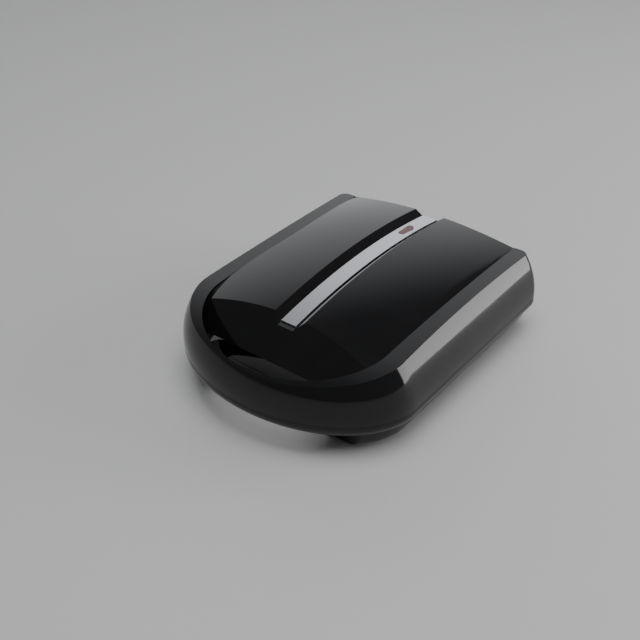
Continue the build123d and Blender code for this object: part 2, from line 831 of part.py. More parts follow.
def make_lamps():
    z = lamp_holder_floor() + lamp_holder_wall + lamp_radius
    return [Pos(x, lens_y, z) * Rot(90, 0, 0) * Cylinder(lamp_radius, lamp_length)
            for x in (-lamp_spacing / 2, lamp_spacing / 2)]


def make_pin(side):
    inner = side * (barrel_half_width - pin_bite + 0.5)
    outer = side * ear_x1
    pin = lying(*sorted((inner, outer)), axis_y, axis_z, pin_radius)
    return pin + lying(*sorted((outer, outer + side * pin_head_thickness)), axis_y, axis_z, pin_head_radius)


def make_feet():
    feet = []
    for x, y in foot_places():
        foot = upright(x, y, 0, foot_height, foot_radius)
        foot = fillet(foot.edges().group_by(Axis.Z)[0], 1.0)
        feet.append(foot + upright(x, y, foot_height, foot_height + wall + 1.5, foot_stem_radius))
    return feet


def make_gland():
    place = Pos(gland_x, back_y - gland_seat, gland_height) * Rot(-90, 0, 0)
    gland = place * Pos(0, 0, gland_flange_thickness / 2) * Cylinder(gland_flange_radius, gland_flange_thickness)
    gland += place * Pos(0, 0, -gland_length / 2) * Cylinder(gland_radius, gland_length)
    return gland - place * Cylinder(gland_bore_radius, 4 * gland_length)


nodes = {
    "base_shell": make_base_shell,
    "lower_frame": lambda: make_frame(frame_z, barrel_clearance),
    "base_handle_cover": lambda: make_handle_cover(parting_z - cover_thickness, parting_z),
    "lower_baking_plate": make_lower_plate,
    "lower_heater": lambda: make_heater(heater_lower_z),
    "lower_heater_clips": lambda: Compound(heater_clips(rib_floor, heater_lower_z, False, lower_clip_foot,
                                                        lower_clip_screw)),
    "lower_clip_screws": lambda: Compound(clip_screws(rib_floor - clip_thickness, True, lower_clip_screw)),
    "lower_heat_tray": make_lower_tray,
    "lower_plate_screws": lambda: Compound(plate_screws(lower_tray_floor - tray_wall, True)),
    "base_frame_screws": lambda: Compound(frame_screws(frame_z + frame_thickness, False)),
    "base_cover_screws": lambda: Compound(cover_screws(parting_z - head_recess, False)),
    "terminal_block": make_terminal_block,
    "terminal_block_screws": lambda: Compound(make_terminal_screws()),
    "rubber_feet": lambda: Compound(make_feet()),
    "cord_gland": make_gland,
    "hinge_pin_left": lambda: make_pin(-1),
    "hinge_pin_right": lambda: make_pin(1),
    "lid_shell": make_lid_shell,
    "lid_frame": lambda: make_frame(lid_frame_z, barrel_clearance / 2),
    "lid_handle_cover": lambda: make_handle_cover(lid_z, lid_z),
    "upper_baking_plate": make_upper_plate,
    "upper_heater": lambda: make_heater(heater_upper_z),
    "upper_heater_clips": lambda: Compound(heater_clips(lid_z + plate_thickness, heater_upper_z, True,
                                                        upper_clip_foot, upper_clip_screw)),
    "upper_clip_screws": lambda: Compound(clip_screws(lid_z + plate_thickness + clip_thickness, False,
                                                      upper_clip_screw)),
    "upper_heat_tray": make_upper_tray,
    "upper_plate_screws": lambda: Compound(plate_screws(upper_tray_roof + tray_wall, False)),
    "lid_frame_screws": lambda: Compound(frame_screws(lid_frame_z, True)),
    "lid_cover_screws": lambda: Compound(cover_screws(lid_z + head_recess, True)),
    "thermostat": make_thermostat,
    "thermostat_blades": lambda: Compound(make_thermostat_blades()),
    "thermal_fuse": make_fuse,
    "fuse_clip": make_fuse_clip,
    "sensor_screws": lambda: Compound(make_sensor_screws()),
    "accent_strip": make_strip,
    "indicator_lens": make_lens,
    "lamp_holder": make_lamp_holder,
    "indicator_lamps": lambda: Compound(make_lamps()),
}

os.makedirs("parts", exist_ok=True)
for name, make in nodes.items():
    export_step(make(), f"parts/{name}.step")
    print(name)
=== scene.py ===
import math

import bmesh
import bpy
import numpy as np
from mathutils import Euler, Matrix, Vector


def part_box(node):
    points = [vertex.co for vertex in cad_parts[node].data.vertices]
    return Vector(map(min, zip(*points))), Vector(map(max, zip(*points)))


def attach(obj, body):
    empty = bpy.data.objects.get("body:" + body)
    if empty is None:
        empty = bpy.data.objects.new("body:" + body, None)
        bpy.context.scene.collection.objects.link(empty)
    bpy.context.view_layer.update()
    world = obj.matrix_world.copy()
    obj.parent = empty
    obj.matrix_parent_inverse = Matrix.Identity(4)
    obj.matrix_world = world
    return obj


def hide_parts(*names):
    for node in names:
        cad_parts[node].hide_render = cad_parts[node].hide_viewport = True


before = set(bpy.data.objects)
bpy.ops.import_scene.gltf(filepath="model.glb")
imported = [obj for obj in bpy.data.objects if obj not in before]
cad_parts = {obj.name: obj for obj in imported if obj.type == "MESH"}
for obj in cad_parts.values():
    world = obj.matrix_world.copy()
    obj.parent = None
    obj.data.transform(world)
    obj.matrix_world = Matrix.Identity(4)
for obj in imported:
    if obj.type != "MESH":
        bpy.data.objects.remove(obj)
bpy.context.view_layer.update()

bl_info = {
    "name": "Nut cookie maker",
    "version": (1, 0, 0),
    "blender": (4, 5, 0),
    "location": "View3D > Sidebar > Nut maker",
    "description": "Dresses a clamshell maker for nut shaped cookies: gloss case, cast plates, strip and lamp",
    "category": "Object",
}

# One millimetre, in the scene's metres
MM = 0.001

# The lid's form, as the solids have it: its walls, its crest line and its dome
LID_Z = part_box("lid_handle_cover")[0].z
HALF_WIDTH = 113 * MM
ARC_Y = -63 * MM
ARC_DEPTH = 75.5 * MM
FRONT_Y = ARC_Y - ARC_DEPTH
BACK_Y = 131.5 * MM
BACK_RADIUS = 14 * MM
BACK_SHARE = 0.3
CORNER_SHARE = 0.5
RIM_HEIGHT = 40.3 * MM
RIM_INSET = 13.7 * MM
RIM_CURVE = 2.2
RIM_FRONT_HEIGHT = 26 * MM
RIM_TOP_Y = 36.5 * MM
RIM_SAG = 0.24
VALLEY_DROP = 3.6 * MM
DOME_HEIGHT = 53.4 * MM
DOME_SIDE = 96 * MM
DOME_RADIUS_ACROSS = 417 * MM
DOME_RADIUS_ALONG = 602 * MM
SCOOP_SLOPE = 1.03
RECESS_HALF_WIDTH = 86 * MM
RECESS_ARC_DEPTH = 66.9 * MM
# The dome's shoulder: heights over the lid's lower edge, and how far in from the recess's outline
SHOULDER = ((20.0, 0.0), (36.5, 0.0), (41.0, 2.0), (45.0, 6.0), (47.0, 10.0), (56.0, 24.0))
# How far below the dome the shoulder's shading has left the dome's
ROLL = 10 * MM

# How close vertices lie that the gloss copies join, and the shortest edge that they keep
WELD = 0.002 * MM
SLIVER = 0.001 * MM
# How far the lid's frame lies behind the upper plate's face
FACE_STEP = 1 * MM


class CaseSettings(bpy.types.PropertyGroup):
    """The gloss case in two halves."""

    colour: bpy.props.FloatVectorProperty(
        name="Case colour", description="Colour of the moulded gloss plastic",
        subtype="COLOR", size=3, min=0.0, max=1.0, default=(0.0045, 0.0045, 0.005))
    gloss_roughness: bpy.props.FloatProperty(
        name="Gloss roughness", description="Roughness of the polished outer surface",
        default=0.06, min=0.0, max=1.0)
    matt_colour: bpy.props.FloatVectorProperty(
        name="Matt colour", description="Colour of the matt inner frames and handle covers",
        subtype="COLOR", size=3, min=0.0, max=1.0, default=(0.016, 0.016, 0.017))
    crease: bpy.props.FloatProperty(
        name="Crease angle", description="Edges sharper than this stay crisp",
        default=math.radians(28), subtype="ANGLE")


class PlateSettings(bpy.types.PropertyGroup):
    """The cast baking plates."""

    colour: bpy.props.FloatVectorProperty(
        name="Plate colour", description="Colour of the non-stick coating",
        subtype="COLOR", size=3, min=0.0, max=1.0, default=(0.055, 0.056, 0.06))
    wrinkle_size: bpy.props.FloatProperty(
        name="Wrinkle size", description="Distance between the walnut wrinkles",
        default=4.2 * MM, unit="LENGTH", min=0.5 * MM, max=20 * MM)


class TrimSettings(bpy.types.PropertyGroup):
    """The strip and the lamp."""

    strip_colour: bpy.props.FloatVectorProperty(
        name="Strip colour", description="Colour of the brushed metal strip",
        subtype="COLOR", size=3, min=0.0, max=1.0, default=(0.62, 0.63, 0.66))
    lens_colour: bpy.props.FloatVectorProperty(
        name="Lens colour", description="Colour of the lamp's tinted lens",
        subtype="COLOR", size=3, min=0.0, max=1.0, default=(0.11, 0.022, 0.018))


class StudioSettings(bpy.types.PropertyGroup):
    """Floor and camera."""

    azimuth: bpy.props.FloatProperty(
        name="Azimuth", description="Camera's turn to the right of the machine's front",
        default=math.radians(41.8), subtype="ANGLE")
    elevation: bpy.props.FloatProperty(
        name="Elevation", description="Camera's height above the horizon",
        default=math.radians(34.8), subtype="ANGLE")
    roll: bpy.props.FloatProperty(
        name="Roll", description="Camera's turn about its own line of sight",
        default=math.radians(-3.3), subtype="ANGLE")
    distance: bpy.props.FloatProperty(
        name="Distance", description="Camera's distance from the point it looks at",
        default=0.779, unit="LENGTH")
    aim: bpy.props.FloatVectorProperty(
        name="Aim", description="The point that the camera looks at",
        subtype="TRANSLATION", size=3, default=(-0.0379, -0.0259, 0.030))
    lens_mm: bpy.props.FloatProperty(
        name="Focal length", description="Focal length on a 36 mm wide sensor", default=50.5)
    shift_x: bpy.props.FloatProperty(
        name="Shift", description="Sideways shift of the camera's picture", default=0.04)
    floor_colour: bpy.props.FloatVectorProperty(
        name="Floor colour", description="Colour of the floor",
        subtype="COLOR", size=3, min=0.0, max=1.0, default=(0.5, 0.5, 0.5))


# Node groups that several materials share

def new_group(name, inputs, outputs):
    group = bpy.data.node_groups.new(name, "ShaderNodeTree")
    for label, kind, value in inputs:
        socket = group.interface.new_socket(name=label, in_out="INPUT", socket_type=kind)
        socket.default_value = value
    for label, kind in outputs:
        group.interface.new_socket(name=label, in_out="OUTPUT", socket_type=kind)
    return group


def add(tree, kind, **values):
    """A node whose settings and unlinked inputs are given by name."""
    node = tree.nodes.new(kind)
    for key, value in values.items():
        if hasattr(node, key):
            setattr(node, key, value)
        else:
            node.inputs[key.replace("_", " ")].default_value = value
    return node


def grain_group():
    """Fine cast or moulded grain, as a height."""
    group = new_group(
        "fine_grain",
        [("Scale", "NodeSocketFloat", 900.0), ("Detail", "NodeSocketFloat", 3.0)],
        [("Height", "NodeSocketFloat")])
    start = add(group, "NodeGroupInput")
    end = add(group, "NodeGroupOutput")
    place = add(group, "ShaderNodeTexCoord")
    noise = add(group, "ShaderNodeTexNoise")
    link = group.links.new
    link(place.outputs["Object"], noise.inputs["Vector"])
    link(start.outputs["Scale"], noise.inputs["Scale"])
    link(start.outputs["Detail"], noise.inputs["Detail"])
    link(noise.outputs["Fac"], end.inputs["Height"])
    return group


def handling_group():
    """Faint wipe marks: a roughness that wanders between two values, and a mask of the marks."""
    group = new_group(
        "handling_marks",
        [("Clean", "NodeSocketFloat", 0.06), ("Marked", "NodeSocketFloat", 0.14),
         ("Scale", "NodeSocketFloat", 14.0)],
        [("Roughness", "NodeSocketFloat"), ("Mask", "NodeSocketFloat")])
    start = add(group, "NodeGroupInput")
    end = add(group, "NodeGroupOutput")
    place = add(group, "ShaderNodeTexCoord")
    cloud = add(group, "ShaderNodeTexNoise", Detail=5.0, Roughness=0.62, Distortion=0.8)
    soften = add(group, "ShaderNodeMapRange", From_Min=0.45, From_Max=0.72)
    mix = add(group, "ShaderNodeMapRange")
    link = group.links.new
    link(place.outputs["Object"], cloud.inputs["Vector"])
    link(start.outputs["Scale"], cloud.inputs["Scale"])
    link(cloud.outputs["Fac"], soften.inputs["Value"])
    link(soften.outputs["Result"], mix.inputs["Value"])
    link(start.outputs["Clean"], mix.inputs["To Min"])
    link(start.outputs["Marked"], mix.inputs["To Max"])
    link(mix.outputs["Result"], end.inputs["Roughness"])
    link(soften.outputs["Result"], end.inputs["Mask"])
    return group


def brushed_group():
    """Long fine streaks along Y, as a height."""
    group = new_group(
        "brushed_streaks",
        [("Across", "NodeSocketFloat", 2600.0), ("Along", "NodeSocketFloat", 14.0)],
        [("Height", "NodeSocketFloat")])
    start = add(group, "NodeGroupInput")
    end = add(group, "NodeGroupOutput")
    place = add(group, "ShaderNodeTexCoord")
    stretch = add(group, "ShaderNodeCombineXYZ")
    scale = add(group, "ShaderNodeVectorMath", operation="MULTIPLY")
    noise = add(group, "ShaderNodeTexNoise", Scale=1.0, Detail=2.0)
    link = group.links.new
    link(start.outputs["Across"], stretch.inputs["X"])
    link(start.outputs["Along"], stretch.inputs["Y"])
    link(start.outputs["Along"], stretch.inputs["Z"])
    link(place.outputs["Object"], scale.inputs[0])
    link(stretch.outputs["Vector"], scale.inputs[1])
    link(scale.outputs["Vector"], noise.inputs["Vector"])
    link(noise.outputs["Fac"], end.inputs["Height"])
    return group


def wrinkle_group():
    """Walnut wrinkles below a face's level: crumpled ridges, as a height."""
    group = new_group(
        "walnut_wrinkles",
        [("Level", "NodeSocketFloat", 0.032), ("Scale", "NodeSocketFloat", 240.0)],
        [("Height", "NodeSocketFloat")])
    start = add(group, "NodeGroupInput")
    end = add(group, "NodeGroupOutput")
    place = add(group, "ShaderNodeTexCoord")
    split = add(group, "ShaderNodeSeparateXYZ")
    depth = add(group, "ShaderNodeMath", operation="SUBTRACT")
    mask = add(group, "ShaderNodeMapRange", From_Min=0.4 * MM, From_Max=1.6 * MM)
    bend = add(group, "ShaderNodeTexNoise", Scale=150.0, Detail=2.0)
    offset = add(group, "ShaderNodeVectorMath", operation="SCALE", Scale=5.0 * MM)
    moved = add(group, "ShaderNodeVectorMath", operation="ADD")
    cells = add(group, "ShaderNodeTexVoronoi", feature="SMOOTH_F1", Smoothness=0.35)
    height = add(group, "ShaderNodeMath", operation="MULTIPLY")
    link = group.links.new
    link(place.outputs["Object"], split.inputs["Vector"])
    link(start.outputs["Level"], depth.inputs[0])
    link(split.outputs["Z"], depth.inputs[1])
    link(depth.outputs["Value"], mask.inputs["Value"])
    link(place.outputs["Object"], bend.inputs["Vector"])
    link(bend.outputs["Color"], offset.inputs[0])
    link(place.outputs["Object"], moved.inputs[0])
    link(offset.outputs["Vector"], moved.inputs[1])
    link(moved.outputs["Vector"], cells.inputs["Vector"])
    link(start.outputs["Scale"], cells.inputs["Scale"])
    link(cells.outputs["Distance"], height.inputs[0])
    link(mask.outputs["Result"], height.inputs[1])
    link(height.outputs["Value"], end.inputs["Height"])
    return group


def effect(tree, name, **values):
    """One of the shared groups, built the first time it is asked for."""
    makers = {
        "fine_grain": grain_group,
        "handling_marks": handling_group,
        "brushed_streaks": brushed_group,
        "walnut_wrinkles": wrinkle_group,
    }
    node = tree.nodes.new("ShaderNodeGroup")
    node.node_tree = bpy.data.node_groups.get(name) or makers[name]()
    for key, value in values.items():
        node.inputs[key].default_value = value
    return node


def new_material(name, colour, roughness, metallic=0.0, **sockets):
    """A Principled material with plain values, ready for its effects."""
    material = bpy.data.materials.new(name)
    material.use_nodes = True
    shader = material.node_tree.nodes["Principled BSDF"]
    shader.inputs["Base Color"].default_value = (*colour, 1.0)
    shader.inputs["Roughness"].default_value = roughness
    shader.inputs["Metallic"].default_value = metallic
    for key, value in sockets.items():
        shader.inputs[key.replace("_", " ")].default_value = value
    return material, material.node_tree, shader


def emboss(tree, shader, height, strength, distance):
    bump = tree.nodes.new("ShaderNodeBump")
    bump.inputs["Strength"].default_value = strength
    bump.inputs["Distance"].default_value = distance
    tree.links.new(height, bump.inputs["Height"])
    tree.links.new(bump.outputs["Normal"], shader.inputs["Normal"])


def vary_colour(tree, shader, mask, low, high):
    """Runs the base colour between two near shades by a mask."""
    mix = tree.nodes.new("ShaderNodeMix")
    mix.data_type = "RGBA"
    mix.inputs["A"].default_value = (*low, 1.0)
    mix.inputs["B"].default_value = (*high, 1.0)
    tree.links.new(mask, mix.inputs["Factor"])
    tree.links.new(mix.outputs["Result"], shader.inputs["Base Color"])


def shaded(colour, share):
    return tuple(channel * share for channel in colour)


def wear(tree, shader, clean, marked, scale, low, high):
    """Handling marks, in the roughness and faintly in the colour."""
    marks = effect(tree, "handling_marks", Clean=clean, Marked=marked, Scale=scale)
    tree.links.new(marks.outputs["Roughness"], shader.inputs["Roughness"])
    vary_colour(tree, shader, marks.outputs["Mask"], low, high)


# Materials

def gloss_plastic():
    case = bpy.context.scene.maker_case
    clean = case.gloss_roughness
    material, tree, shader = new_material("gloss_black_plastic", case.colour, clean,
                                          Specular_IOR_Level=0.42)
    wear(tree, shader, clean, clean + 0.05, 16.0, case.colour, shaded(case.colour, 1.35))
    return material


def matt_plastic():
    case = bpy.context.scene.maker_case
    material, tree, shader = new_material("matt_black_plastic", case.matt_colour, 0.5)
    grain = effect(tree, "fine_grain", Scale=1500.0, Detail=2.0)
    emboss(tree, shader, grain.outputs["Height"], 0.25, 0.12 * MM)
    wear(tree, shader, 0.42, 0.58, 30.0, case.matt_colour, shaded(case.matt_colour, 1.5))
    return material


def plate_coating(name, level):
    """The dark non-stick coating, wrinkled like a walnut on the moulds beyond the face's level."""
    plate = bpy.context.scene.maker_plate
    material, tree, shader = new_material(name, plate.colour, 0.38, metallic=0.25)
    wrinkles = effect(tree, "walnut_wrinkles", Level=level, Scale=1.0 / plate.wrinkle_size)
    emboss(tree, shader, wrinkles.outputs["Height"], 0.55, 0.8 * MM)
    wear(tree, shader, 0.3, 0.46, 60.0, plate.colour, shaded(plate.colour, 1.3))
    return material


def brushed_strip():
    trim = bpy.context.scene.maker_trim
    material, tree, shader = new_material("brushed_strip", trim.strip_colour, 0.3, metallic=1.0)
    streaks = effect(tree, "brushed_streaks", Across=3200.0, Along=9.0)
    emboss(tree, shader, streaks.outputs["Height"], 0.16, 0.05 * MM)
    vary_colour(tree, shader, streaks.outputs["Height"], shaded(trim.strip_colour, 0.9), trim.strip_colour)
    return material


def sheet_steel():
    colour = (0.5, 0.51, 0.53)
    material, tree, shader = new_material("folded_steel", colour, 0.32, metallic=1.0)
    streaks = effect(tree, "brushed_streaks", Across=900.0, Along=25.0)
    emboss(tree, shader, streaks.outputs["Height"], 0.12, 0.05 * MM)
    wear(tree, shader, 0.26, 0.44, 40.0, colour, shaded(colour, 0.8))
    return material


def heated_tube():
    """A steel sheath browned by heat."""
    steel = (0.3, 0.27, 0.24)
    material, tree, shader = new_material("heated_tube", steel, 0.4, metallic=0.9)
    browned = (0.16, 0.12, 0.10)
    wear(tree, shader, 0.34, 0.52, 45.0, steel, browned)
    return material


def zinc():
    colour = (0.58, 0.58, 0.55)
    material, tree, shader = new_material("zinc_plating", colour, 0.28, metallic=1.0)
    wear(tree, shader, 0.22, 0.4, 200.0, colour, shaded(colour, 0.75))
    return material


def soft_rubber():
    colour = (0.013, 0.013, 0.013)
    material, tree, shader = new_material("soft_rubber", colour, 0.75)
    grain = effect(tree, "fine_grain", Scale=2200.0, Detail=3.0)
    emboss(tree, shader, grain.outputs["Height"], 0.4, 0.15 * MM)
    vary_colour(tree, shader, grain.outputs["Height"], colour, shaded(colour, 1.8))
    return material


def dull_moulding(name, colour, roughness):
    material, tree, shader = new_material(name, colour, roughness)
    grain = effect(tree, "fine_grain", Scale=1200.0, Detail=4.0)
    emboss(tree, shader, grain.outputs["Height"], 0.2, 0.1 * MM)
    vary_colour(tree, shader, grain.outputs["Height"], shaded(colour, 0.85), colour)
    return material


def tinted_lens():
    trim = bpy.context.scene.maker_trim
    material, tree, shader = new_material("tinted_lens", trim.lens_colour, 0.14, Coat_Weight=0.2,
                                          Coat_Roughness=0.05)
    ribs = effect(tree, "brushed_streaks", Across=30.0, Along=1500.0)
    emboss(tree, shader, ribs.outputs["Height"], 0.15, 0.1 * MM)
    vary_colour(tree, shader, ribs.outputs["Height"], shaded(trim.lens_colour, 0.75), trim.lens_colour)
    return material


def dress(node, material):
    """Gives a CAD node one material in place of its slots'."""
    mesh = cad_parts[node].data
    mesh.materials.clear()
    mesh.materials.append(material)


def unit(x, y, z):
    """Unit vectors from three arrays of components."""
    vectors = np.stack(np.broadcast_arrays(x, y, z), axis=1).astype(float)
    return vectors / np.maximum(np.linalg.norm(vectors, axis=1, keepdims=True), 1e-12)


def wall_surface(at):
    """The bulging side wall: how far each point is from it, and its normal there."""
    x, y, z = at.T
    level = np.clip((z - LID_Z) / RIM_HEIGHT, 0.0, 1.2)
    inset = RIM_INSET * level ** RIM_CURVE
    lean = RIM_INSET / RIM_HEIGHT * RIM_CURVE * level ** (RIM_CURVE - 1)
    side = np.sign(x)
    half = HALF_WIDTH - inset
    depth = ARC_DEPTH - inset
    across = x / half
    along = (y - ARC_Y) / depth
    front = y < ARC_Y
    front_gap = np.abs(np.hypot(across, along) - 1) * half
    front_normal = unit(across / half, along / depth, lean * (across ** 2 / half + along ** 2 / depth))
    radius = BACK_RADIUS - CORNER_SHARE * inset
    back = BACK_Y - BACK_SHARE * inset
    corner_x = np.maximum(np.abs(x) - (half - radius), 0.0)
    corner_y = np.maximum(y - (back - radius), 0.0)
    reach = np.maximum(np.hypot(corner_x, corner_y), 1e-9)
    turn_x = corner_x / reach
    turn_y = corner_y / reach
    rise = lean * ((1 - CORNER_SHARE) * turn_x - (CORNER_SHARE - BACK_SHARE) * turn_y + CORNER_SHARE)
    rear_gap = np.abs(reach - radius)
    rear_normal = unit(side * turn_x, turn_y, rise)
    gap = np.where(front, front_gap, rear_gap)
    return gap, np.where(front[:, None], front_normal, rear_normal)


def crest_surface(at, drop=0.0):
    """The rim's arched top, or what lies a drop below it."""
    y = np.maximum(at[:, 1], FRONT_Y)
    front = np.maximum(0.0, (ARC_Y - y) / ARC_DEPTH)
    sag = RIM_SAG * (y - RIM_TOP_Y) ** 2
    front_sag = RIM_SAG * (FRONT_Y - RIM_TOP_Y) ** 2
    fall = RIM_HEIGHT - front_sag - RIM_FRONT_HEIGHT
    height = LID_Z + RIM_HEIGHT - sag - fall * front ** 2 - drop
    slope = -2 * RIM_SAG * (y - RIM_TOP_Y) + 2 * fall * front / ARC_DEPTH
    return np.abs(at[:, 2] - height), unit(0 * y, -slope, 1 + 0 * y)


def valley_surface(at):
    """The narrow valley between the rim and the dome."""
    return crest_surface(at, VALLEY_DROP)


def dome_surface(at):
    """The dome: an arc across, swung along a longer arc."""
    x, y, z = at.T
    centre_z = LID_Z + DOME_HEIGHT - DOME_RADIUS_ALONG
    fall = DOME_SIDE ** 2 / (2 * DOME_RADIUS_ACROSS)
    radius = (DOME_SIDE ** 2 + fall ** 2) / (2 * fall)
    swing = np.hypot(y - RIM_TOP_Y, z - centre_z)
    rise = swing - (DOME_RADIUS_ALONG - radius)
    share = rise / swing
    gap = np.abs(np.hypot(x, rise) - radius)
    return gap, unit(x, (y - RIM_TOP_Y) * share, (z - centre_z) * share)


def shoulder_curve():
    """The shoulder's profile and its outward normals, as a smooth line through its corners."""
    points = np.array(SHOULDER) * MM
    before = np.vstack([2 * points[0] - points[1], points[:-1]])
    after = np.vstack([points[1:], 2 * points[-1] - points[-2]])
    slopes = (after - before) / 2
    t = np.linspace(0.0, 1.0, 40)[:, None]
    ease = 3 * t ** 2 - 2 * t ** 3
    leave = t ** 3 - 2 * t ** 2 + t
    arrive = t ** 3 - t ** 2
    spans = [(1 - ease) * points[i] + leave * slopes[i] + ease * points[i + 1] + arrive * slopes[i + 1]
             for i in range(len(points) - 1)]
    level, inset = np.vstack(spans).T
    run = np.hypot(np.gradient(inset), np.gradient(level))
    return level, inset, np.gradient(level) / run, np.gradient(inset) / run


def shoulder_surface(at):
    """The dome's shoulder, inside the recess's outline."""
    x, y, z = at.T
    level, inset, outward, upward = shoulder_curve()
    front = y < ARC_Y
    share = RECESS_ARC_DEPTH / RECESS_HALF_WIDTH
    along = np.where(front, y - ARC_Y, 0.0)
    inward = RECESS_HALF_WIDTH - np.hypot(x, along / share)
    outermost = -0.5 * RECESS_ARC_DEPTH
    innermost = 0.7 * RECESS_ARC_DEPTH
    # Newton's steps to how far inside the outline each point lies
    for _ in range(4):
        half = RECESS_HALF_WIDTH - inward
        depth = RECESS_ARC_DEPTH - inward
        over = (x / half) ** 2 + (along / depth) ** 2 - 1
        steep = 2 * (x ** 2 / half ** 3 + along ** 2 / depth ** 3)
        inward = np.clip(inward - over / np.maximum(steep, 1e-6), outermost, innermost)
    turn = unit(x / (RECESS_HALF_WIDTH - inward) ** 2, along / (RECESS_ARC_DEPTH - inward) ** 2, 0.0)
    off = np.hypot(inward[:, None] - inset, (z - LID_Z)[:, None] - level)
    nearest = off.argmin(axis=1)
    normal = unit(turn[:, 0] * outward[nearest], turn[:, 1] * outward[nearest], upward[nearest])
    return off.min(axis=1), normal


def roll_into_dome(at, normal):
    """Turns the shoulder's normals softly into the dome's towards its top."""
    below, dome = dome_surface(at)
    share = np.clip(below / ROLL, 0.0, 1.0)
    share = (share * share * (3 - 2 * share))[:, None]
    return unit(*(share * normal + (1 - share) * dome).T)


def scoop_surface(at):
    """The flat scoop in front of the dome; its slope alone tells it."""
    return 0 * at[:, 0], unit(0 * at[:, 0], -SCOOP_SLOPE, 1.0)


def true_normals(mesh):
    """Shades the lid by its real curves, so that reflections run clean over the mesh."""
    normals = np.array([tuple(corner.vector) for corner in mesh.corner_normals])
    place = np.array([tuple(vertex.co) for vertex in mesh.vertices])
    at = place[[loop.vertex_index for loop in mesh.loops]]
    centre = np.array([tuple(polygon.center) for polygon in mesh.polygons])
    facing = np.array([tuple(polygon.normal) for polygon in mesh.polygons])
    corners = [polygon.loop_total for polygon in mesh.polygons]
    # Each surface, how near to it a face's centre lies, and how many degrees the face may be off
    surfaces = (
        (shoulder_surface, 2.5 * MM, 50),
        (scoop_surface, 2.0 * MM, 1.5),
        (wall_surface, 0.5 * MM, 16),
        (crest_surface, 0.5 * MM, 10),
        (valley_surface, 0.5 * MM, 10),
        (dome_surface, 0.3 * MM, 5),
    )
    for surface, near, turn in surfaces:
        gap, expected = surface(centre)
        alike = (expected * facing).sum(axis=1) > math.cos(math.radians(turn))
        chosen = np.repeat((gap < near) & alike, corners)
        shaded_by = surface(at)[1]
        if surface is shoulder_surface:
            shaded_by = roll_into_dome(at, shaded_by)
        normals[chosen] = shaded_by[chosen]
    mesh.normals_split_custom_set(normals.tolist())


def smooth_copy(node, name, body, material, crease):
    """The node's own shape as a merged mesh, whose round faces shade smoothly for a clean gloss."""
    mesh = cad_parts[node].data.copy()
    mesh.name = name
    shape = bmesh.new()
    shape.from_mesh(mesh)
    bmesh.ops.remove_doubles(shape, verts=shape.verts, dist=WELD)
    bmesh.ops.dissolve_degenerate(shape, edges=shape.edges, dist=SLIVER)
    for face in shape.faces:
        face.smooth = True
    for edge in shape.edges:
        edge.smooth = edge.is_manifold and edge.calc_face_angle(0.0) < crease
    shape.to_mesh(mesh)
    shape.free()
    mesh.materials.clear()
    mesh.materials.append(material)
    piece = bpy.data.objects.new(name, mesh)
    bpy.context.scene.collection.objects.link(piece)
    if node == "lid_shell":
        true_normals(mesh)
    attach(piece, body)
    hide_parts(node)


class MAKER_OT_case(bpy.types.Operator):
    """Make the two gloss case halves."""

    bl_idname = "maker.case"
    bl_label = "Case"

    def execute(self, context):
        crease = context.scene.maker_case.crease
        gloss = gloss_plastic()
        smooth_copy("lid_shell", "lid_case", "lid", gloss, crease)
        smooth_copy("base_shell", "base_case", "base", gloss, crease)
        return {"FINISHED"}


class MAKER_OT_inner_frames(bpy.types.Operator):
    """Finish the matt frames and handle covers."""

    bl_idname = "maker.inner_frames"
    bl_label = "Inner frames"

    def execute(self, context):
        matt = matt_plastic()
        for node in ("lower_frame", "lid_frame", "base_handle_cover", "lid_handle_cover"):
            dress(node, matt)
        return {"FINISHED"}


class MAKER_OT_plates(bpy.types.Operator):
    """Finish the two baking plates, wrinkled where the nuts are moulded."""

    bl_idname = "maker.plates"
    bl_label = "Baking plates"

    def execute(self, context):
        lower_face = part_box("lower_baking_plate")[1].z
        upper_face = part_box("lid_frame")[0].z - FACE_STEP
        dress("lower_baking_plate", plate_coating("lower_coating", lower_face))
        dress("upper_baking_plate", plate_coating("upper_coating", upper_face))
        return {"FINISHED"}


class MAKER_OT_trim(bpy.types.Operator):
    """Finish the metal strip and the lamp."""

    bl_idname = "maker.trim"
    bl_label = "Strip and lamp"

    def execute(self, context):
        dress("accent_strip", brushed_strip())
        dress("indicator_lens", tinted_lens())
        dress("lamp_holder", dull_moulding("white_moulding", (0.7, 0.69, 0.66), 0.45))
        dress("indicator_lamps", dull_moulding("lamp_glass", (0.75, 0.3, 0.12), 0.15))
        return {"FINISHED"}


class MAKER_OT_works(bpy.types.Operator):
    """Finish the heaters, trays, clips, sensors, screws, pins and feet."""

    bl_idname = "maker.works"
    bl_label = "Inner works"

    def execute(self, context):
        steel = sheet_steel()
        for node in ("lower_heat_tray", "upper_heat_tray", "lower_heater_clips", "upper_heater_clips",
                     "fuse_clip", "thermostat_blades", "hinge_pin_left", "hinge_pin_right"):
            dress(node, steel)
        tube = heated_tube()
        dress("lower_heater", tube)
        dress("upper_heater", tube)
        plating = zinc()
        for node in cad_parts:
            if node.endswith("screws"):
                dress(node, plating)
        rubber = soft_rubber()
        dress("rubber_feet", rubber)
        dress("cord_gland", rubber)
        ceramic = dull_moulding("glazed_ceramic", (0.78, 0.75, 0.68), 0.35)
        dress("terminal_block", ceramic)
        dress("thermal_fuse", ceramic)
        dress("thermostat", dull_moulding("brown_phenolic", (0.05, 0.025, 0.018), 0.5))
        return {"FINISHED"}


